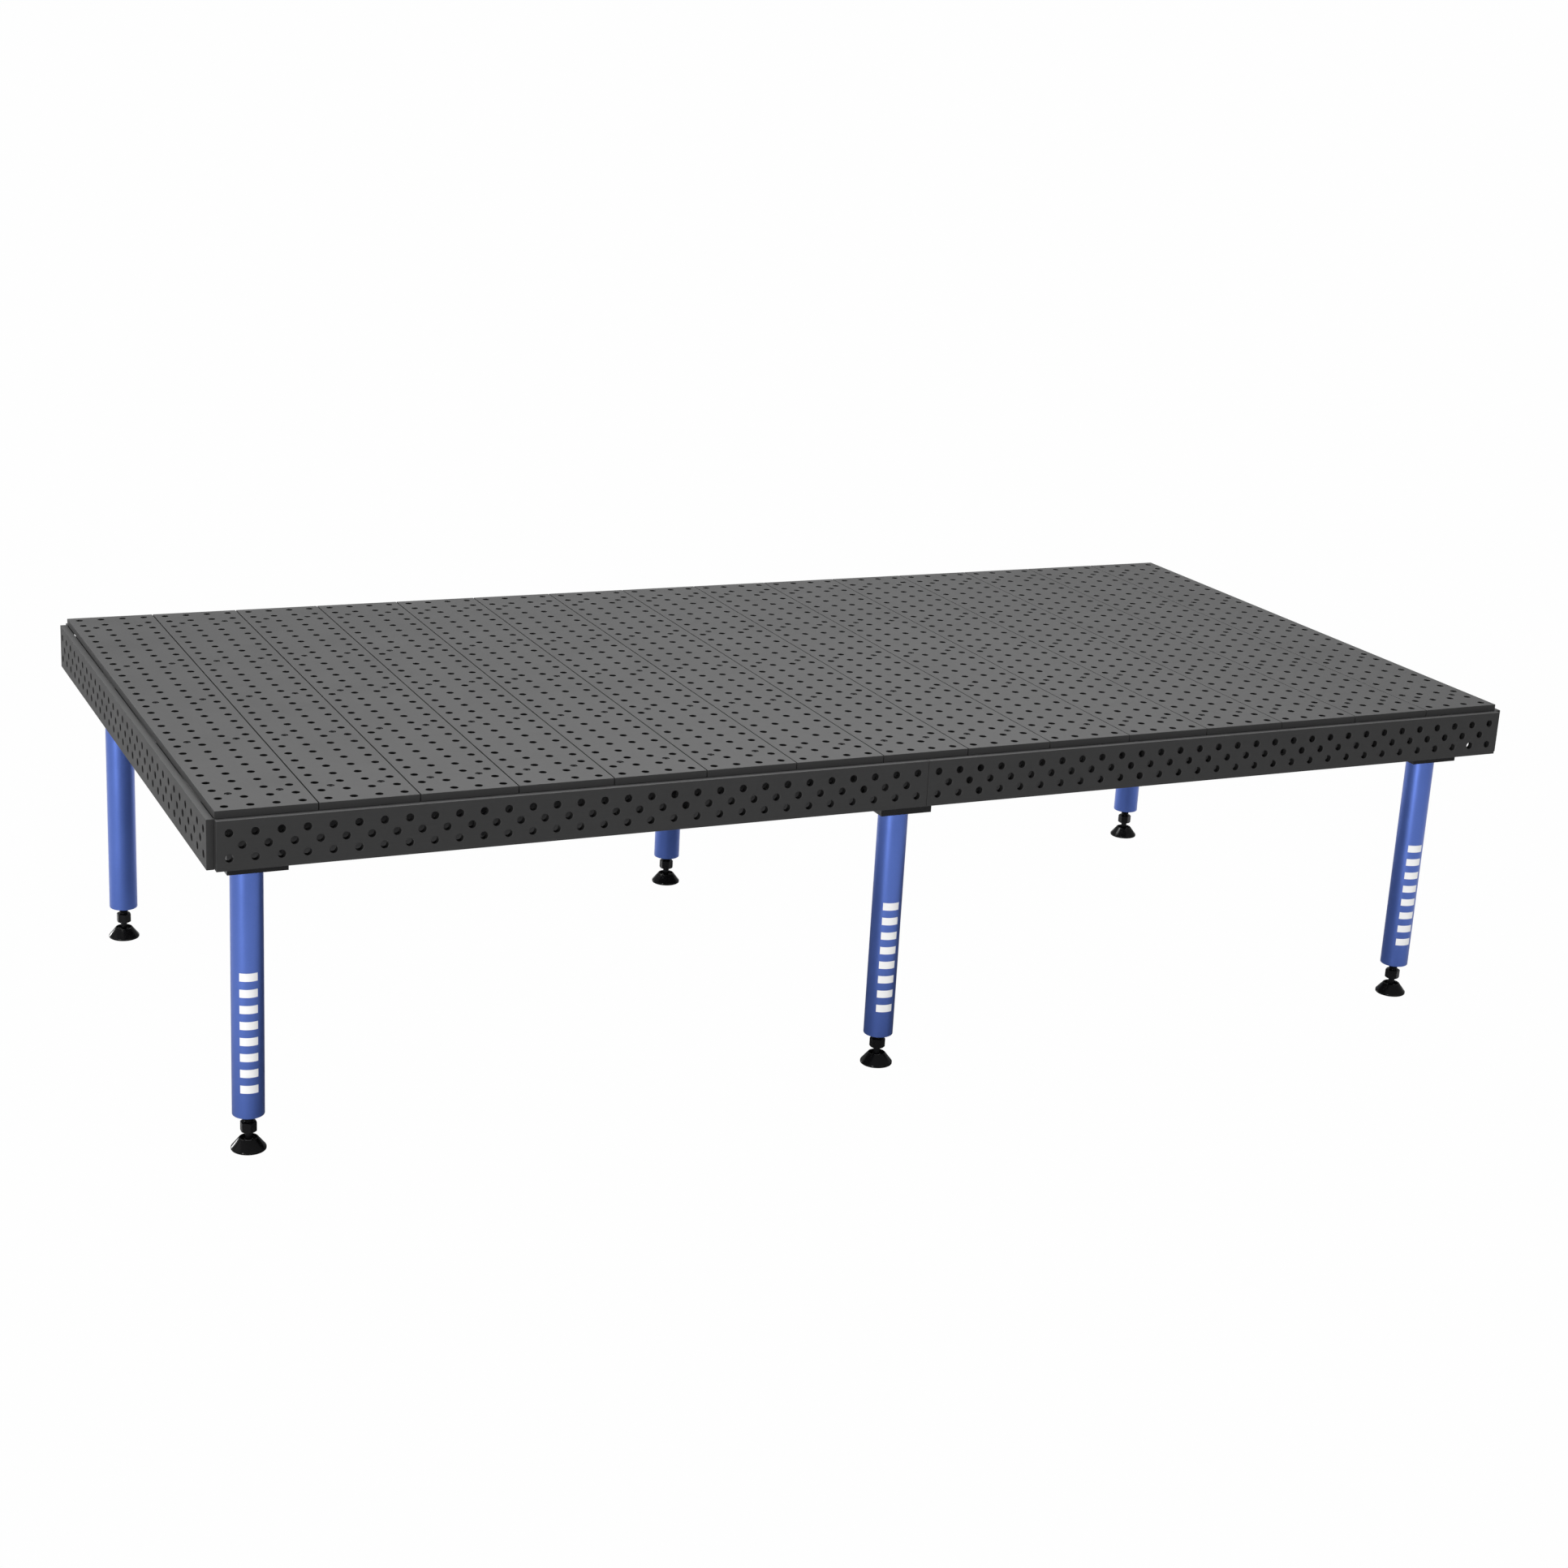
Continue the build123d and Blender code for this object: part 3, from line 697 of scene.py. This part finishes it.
def eased(profile, radius):
    """The profile with each inner corner rounded off by about radius."""
    out = [profile[0]]
    for before, corner, after in zip(profile, profile[1:], profile[2:]):
        corner_point = Vector(corner)
        ends = []
        for other in (Vector(before), Vector(after)):
            reach = min(radius, (other - corner_point).length * 0.45)
            ends.append(corner_point + (other - corner_point).normalized() * reach)
        out.append(tuple(ends[0]))
        out.append(tuple((ends[0] + 2 * corner_point + ends[1]) / 4))
        out.append(tuple(ends[1]))
    out.append(profile[-1])
    return out


turned_steel = finish("turned_bright_steel", (BRIGHT_DARK, BRIGHT_PALE), grain=(300, 300, 2500),
                      rough=(0.3, 0.42), bump=0.00001, metallic=1.0)
plug_places = []
for leg in LEG_NAMES:
    tube_low, tube_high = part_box(f"leg_tube_{leg}")
    place = ((tube_low.x + tube_high.x) / 2, (tube_low.y + tube_high.y) / 2, tube_low.z)
    plug_places.append(Matrix.Translation(place))
plug_profile = eased([
    (PLUG_THREAD_R, PLUG_HEIGHT),
    (TUBE_BORE_R, PLUG_HEIGHT),
    (TUBE_BORE_R, 0),
    (PLUG_THREAD_R + PLUG_CHAMFER, 0),
    (PLUG_THREAD_R, PLUG_CHAMFER),
    (PLUG_THREAD_R, PLUG_HEIGHT),
], PLUG_EASE)
plug = turned("plug", plug_profile, PLUG_STEPS)
piece("end_plug_set", copies("end_plug_set", plug, plug_places), turned_steel,
      "plug_steel", "table", "leg_end_plugs")

# ================================================================ leg graduations
# Plain white dashes, evenly spaced up the lower half of the three front legs, cut from thin vinyl
# film and stuck on facing the front. They read as a height scale and carry no lettering.
DASH_COUNT = 8
DASH_LOW_Z = 0.133
DASH_PITCH = 0.034
DASH_HEIGHT = 0.017
DASH_HALF_ANGLE = radians(33)
DASH_FACING = radians(-99)
DASH_STEPS = 22
FILM = 0.00015
VINYL_DARK = (0.92, 0.92, 0.92, 1)
VINYL_PALE = (0.96, 0.96, 0.96, 1)

vinyl = finish("white_vinyl", (VINYL_DARK, VINYL_PALE), grain=(600, 600, 600), rough=(0.4, 0.5), bump=0.00001,
               specular=0.35)
film_section = ((TUBE_R - FILM, 0), (TUBE_R + FILM, 0), (TUBE_R + FILM, 1), (TUBE_R - FILM, 1))
for place in ("left", "middle", "right"):
    low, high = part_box(f"leg_tube_front_{place}")
    axis_x, axis_y = (low.x + high.x) / 2, (low.y + high.y) / 2
    points, faces = [], []
    for number in range(DASH_COUNT):
        bottom = DASH_LOW_Z + number * DASH_PITCH
        start = len(points)
        for step in range(DASH_STEPS + 1):
            angle = DASH_FACING + (2 * step / DASH_STEPS - 1) * DASH_HALF_ANGLE
            for radius, height in film_section:
                points.append((
                    axis_x + radius * cos(angle),
                    axis_y + radius * sin(angle),
                    bottom + height * DASH_HEIGHT,
                ))
        for step in range(DASH_STEPS):
            near, far = start + 4 * step, start + 4 * step + 4
            for k in range(4):
                m = (k + 1) % 4
                faces.append((near + k, far + k, far + m, near + m))
        last = start + 4 * DASH_STEPS
        faces.append((start, start + 1, start + 2, start + 3))
        faces.append((last + 3, last + 2, last + 1, last))
    dashes = mesh_of(f"leg_dashes_{place}", points, faces)
    piece(f"leg_dashes_front_{place}", dashes, vinyl, "leg_blue", "table")

# ================================================================ levelling feet
# Each foot has a black spindle with an M20 thread, a hexagon to turn it by and a neck; its end is
# riveted into a steel ball, and a turned cone pad is rolled in over the ball so that it can tilt.
THREAD_R = 0.01
THREAD_ROOT_R = 0.0085
THREAD_PITCH = 0.0025
THREAD_STEPS = 32
THREAD_ROWS = 6
THREAD_CREST = (0, 0, 0.55, 1, 1, 0.55)
HEX_FLATS = 0.03
HEX_LOW = 0.0385
HEX_HIGH = 0.0595
HEX_CONE = 0.6
HEX_EDGE = 0.0001
THREAD_FILLET = 0.0005
NECK_R = 0.0074
NECK_LOW = 0.021
NECK_FILLET = 0.0006
NECK_EDGE = 0.0005
JOURNAL_R = 0.004
RIVET_R = 0.0054
RIVET_TOP = 0.0096
RIVET_END = 0.0082
BALL_R = 0.01
BALL_Z = 0.015
BALL_LOW = 0.0075
BALL_HIGH = 0.02095
BALL_ROWS = 16
BALL_BORE_R = 0.00408
RIVET_SINK_R = 0.00558
RIVET_SINK_TOP = 0.0097
SOCKET_R = 0.0101
SOCKET_HEIGHTS = (0.0188, 0.0175, 0.016, 0.0145, 0.013, 0.0115, 0.01, 0.008, 0.0065, 0.0055)
SOCKET_FLOOR = 0.0049
DISH_LIP_R = 0.00935
DISH_R = 0.0169
DISH_Z = 0.019
RIM_INNER_R = 0.0174
RIM_OUTER_R = 0.0192
RIM_Z = 0.0248
PAD_R = 0.0355
PAD_CONE_LOW = 0.0045
PAD_SOLE_EDGE_R = 0.0345
PAD_SOLE_EDGE = 0.001
PAD_SOLE_R = 0.030
PAD_EASE = 0.0005
SPINDLE_STEPS = 72
SPINDLE_SHARP = radians(28)
BALL_STEPS = 48
PAD_STEPS = 96
THREAD_JOINED = 0.000002
FOOT_DARK = (0.003, 0.003, 0.0035, 1)
FOOT_PALE = (0.007, 0.007, 0.0075, 1)

foot_gloss = finish("black_foot_gloss", (FOOT_DARK, FOOT_PALE), grain=(500, 500, 500), rough=(0.14, 0.24),
                    bump=0.00002, specular=0.22)


def hexagon_row(height, cone_way):
    """A row round the hexagon where the turned cone cuts its corners, that far from height."""
    def row(angle):
        radius = hexagon_radius(HEX_FLATS, angle)
        return radius, height + cone_way * (radius - HEX_FLATS / 2) * HEX_CONE
    return row


def thread(low_z, high_z):
    """The spindle's thread: rows that climb one pitch in each turn, run out at both ends."""
    points, faces = [], []
    row_count = int((high_z - low_z) / THREAD_PITCH * THREAD_ROWS) + THREAD_ROWS + 1
    for row in range(row_count):
        crest = THREAD_CREST[row % THREAD_ROWS]
        for step in range(THREAD_STEPS):
            angle = step * 2 * pi / THREAD_STEPS
            height = low_z + (row / THREAD_ROWS + step / THREAD_STEPS - 1) * THREAD_PITCH
            radius = THREAD_ROOT_R + (THREAD_R - THREAD_ROOT_R) * crest
            if height <= low_z or height >= high_z:
                radius = THREAD_ROOT_R
            run_out = max(min(high_z - height, height - low_z), 0)
            radius = min(radius, THREAD_ROOT_R + run_out)
            height = min(max(height, low_z), high_z)
            points.append((radius * cos(angle), radius * sin(angle), height))
    for row in range(row_count - 1):
        for step in range(THREAD_STEPS):
            here = row * THREAD_STEPS + step
            if step < THREAD_STEPS - 1:
                faces.append((here, here + 1, here + 1 + THREAD_STEPS, here + THREAD_STEPS))
            elif row + THREAD_ROWS + 1 < row_count:
                seam = (row + THREAD_ROWS) * THREAD_STEPS
                faces.append((here, seam, seam + THREAD_STEPS, here + THREAD_STEPS))
    shape = bmesh.new()
    made = mesh_of("thread", points, faces)
    shape.from_mesh(made)
    bmesh.ops.remove_doubles(shape, verts=shape.verts, dist=THREAD_JOINED)
    bmesh.ops.holes_fill(shape, edges=[edge for edge in shape.edges if edge.is_boundary])
    shape.to_mesh(made)
    shape.free()
    return made


spindle_profile = [
    (0, HEX_HIGH + THREAD_FILLET),
    (THREAD_ROOT_R, HEX_HIGH + THREAD_FILLET),
    (THREAD_ROOT_R + THREAD_FILLET, HEX_HIGH),
    (HEX_FLATS / 2 - HEX_EDGE, HEX_HIGH),
    hexagon_row(HEX_HIGH, -1),
    hexagon_row(HEX_LOW, 1),
    (HEX_FLATS / 2 - HEX_EDGE, HEX_LOW),
    (NECK_R + NECK_FILLET, HEX_LOW),
    (NECK_R, HEX_LOW - NECK_FILLET),
    (NECK_R, NECK_LOW + NECK_EDGE),
    (NECK_R - NECK_EDGE, NECK_LOW),
    (JOURNAL_R, NECK_LOW),
    (JOURNAL_R, RIVET_TOP),
    (RIVET_R, RIVET_END),
    (0, RIVET_END),
]
ball_top_r = sqrt(BALL_R ** 2 - (BALL_HIGH - BALL_Z) ** 2)
ball_low_r = sqrt(BALL_R ** 2 - (BALL_Z - BALL_LOW) ** 2)
ball_profile = [(BALL_BORE_R, BALL_HIGH), (ball_top_r, BALL_HIGH)]
for step in range(1, BALL_ROWS):
    height = BALL_HIGH + (BALL_LOW - BALL_HIGH) * step / BALL_ROWS
    ball_profile.append((sqrt(BALL_R ** 2 - (height - BALL_Z) ** 2), height))
ball_profile += [
    (ball_low_r, BALL_LOW),
    (RIVET_SINK_R, BALL_LOW),
    (RIVET_SINK_R, RIVET_END),
    (BALL_BORE_R, RIVET_SINK_TOP),
    (BALL_BORE_R, BALL_HIGH),
]

pad_socket = [(sqrt(SOCKET_R ** 2 - (z - BALL_Z) ** 2), z) for z in SOCKET_HEIGHTS]
pad_profile = [(0, SOCKET_FLOOR), *reversed(pad_socket)]
pad_profile += eased([
    pad_socket[0],
    (DISH_LIP_R, DISH_Z),
    (DISH_R, DISH_Z),
    (RIM_INNER_R, RIM_Z),
    (RIM_OUTER_R, RIM_Z),
    (PAD_R, PAD_CONE_LOW),
    (PAD_R, PAD_SOLE_EDGE),
    (PAD_SOLE_EDGE_R, 0),
    (PAD_SOLE_R, 0),
], PAD_EASE)[1:]
pad_profile += [(0, 0)]

thread_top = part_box("foot_spindle_front_left")[1].z
spindle_parts = bmesh.new()
for part in (turned("spindle_body", spindle_profile, SPINDLE_STEPS), thread(HEX_HIGH, thread_top)):
    spindle_parts.from_mesh(part)
spindle_mesh = bpy.data.meshes.new("spindle")
spindle_parts.to_mesh(spindle_mesh)
spindle_parts.free()
spindle_mesh.shade_smooth()
spindle_mesh.set_sharp_from_angle(angle=SPINDLE_SHARP)
ball_mesh = turned("ball", ball_profile, BALL_STEPS)
pad_mesh = turned("pad", pad_profile, PAD_STEPS)
for leg in LEG_NAMES:
    low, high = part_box(f"foot_pad_{leg}")
    stand = Matrix.Translation(((low.x + high.x) / 2, (low.y + high.y) / 2, 0))
    for kind, mesh, node, body, material, slot in (
        ("spindle", spindle_mesh, "foot_spindle", "spindle", foot_gloss, "foot_black"),
        ("ball", ball_mesh, "ball_bush", "ball", turned_steel, "ball_steel"),
        ("pad", pad_mesh, "foot_pad", "pad", foot_gloss, "foot_black"),
    ):
        shape = mesh.copy()
        shape.transform(stand)
        piece(f"{kind}_{leg}_finished", shape, material, slot, f"{body}_{leg}", f"{node}_{leg}")

# ================================================================ floor and light
# A plain white studio floor throws light up at the table, but is clear to the lens, so that the
# underside, and feet wound down past the floor, can be seen. A broad soft box hangs overhead, lesser
# ones stand left and front, and two far strips put the glints down the legs.
FLOOR_HALF = 150.0
FLOOR_TONE = 0.43
ROOM_DIM = 0.33
ROOM_WHITE = 0.992

floor_mesh = bpy.data.meshes.new("floor")
floor_corners = [(x * FLOOR_HALF, y * FLOOR_HALF, 0) for x, y in ((-1, -1), (1, -1), (1, 1), (-1, 1))]
floor_mesh.from_pydata(floor_corners, [], [(0, 1, 2, 3)])
floor = bpy.data.objects.new("floor", floor_mesh)
bpy.context.scene.collection.objects.link(floor)
floor_paint = bpy.data.materials.new("white_floor")
floor_paint.use_nodes = True
nodes, link = floor_paint.node_tree.nodes, floor_paint.node_tree.links.new
nodes.clear()
pale = nodes.new("ShaderNodeBsdfDiffuse")
pale.inputs["Color"].default_value = (FLOOR_TONE, FLOOR_TONE, FLOOR_TONE, 1)
clear = nodes.new("ShaderNodeBsdfTransparent")
rays = nodes.new("ShaderNodeLightPath")
choose = nodes.new("ShaderNodeMixShader")
link(rays.outputs["Is Camera Ray"], choose.inputs["Fac"])
link(pale.outputs["BSDF"], choose.inputs[1])
link(clear.outputs["BSDF"], choose.inputs[2])
surface = nodes.new("ShaderNodeOutputMaterial")
link(choose.outputs["Shader"], surface.inputs["Surface"])
floor_mesh.materials.append(floor_paint)

room = bpy.data.worlds.new("room")
bpy.context.scene.world = room
room.use_nodes = True
nodes, link = room.node_tree.nodes, room.node_tree.links.new
nodes.clear()
dim = nodes.new("ShaderNodeBackground")
dim.inputs["Strength"].default_value = ROOM_DIM
white = nodes.new("ShaderNodeBackground")
white.inputs["Color"].default_value = (1, 1, 1, 1)
white.inputs["Strength"].default_value = ROOM_WHITE
rays = nodes.new("ShaderNodeLightPath")
choose = nodes.new("ShaderNodeMixShader")
link(rays.outputs["Is Camera Ray"], choose.inputs["Fac"])
link(dim.outputs["Background"], choose.inputs[1])
link(white.outputs["Background"], choose.inputs[2])
surface = nodes.new("ShaderNodeOutputWorld")
link(choose.outputs["Shader"], surface.inputs["Surface"])

LIGHTS = {
    # name: place, aim, size across and up, power
    "overhead_box": ((0, 1.2, 5.0), (0, 0.2, 0.7), (7.0, 4.6), 830),
    "left_box": ((-6.5, 0.2, 2.8), (0, 0, 0.6), (4.0, 2.2), 8),
    "front_left_strip": ((-20.6, -17.6, 1.6), (0, 0, 0.5), (2.8, 3.2), 4000),
    "back_left_strip": ((-10.5, 19.0, 1.6), (0, 0, 0.5), (2.8, 3.2), 600),
    "front_box": ((2.5, -9.8, 2.6), (0, 0, 0.6), (6.0, 1.6), 110),
}
for name, (place, aim, size, power) in LIGHTS.items():
    lamp = bpy.data.lights.new(name, "AREA")
    lamp.shape = "RECTANGLE"
    lamp.size, lamp.size_y = size
    lamp.energy = power
    stand = bpy.data.objects.new(name, lamp)
    stand.location = place
    stand.rotation_euler = (Vector(aim) - Vector(place)).to_track_quat("-Z", "Y").to_euler()
    stand.visible_camera = False
    bpy.context.scene.collection.objects.link(stand)
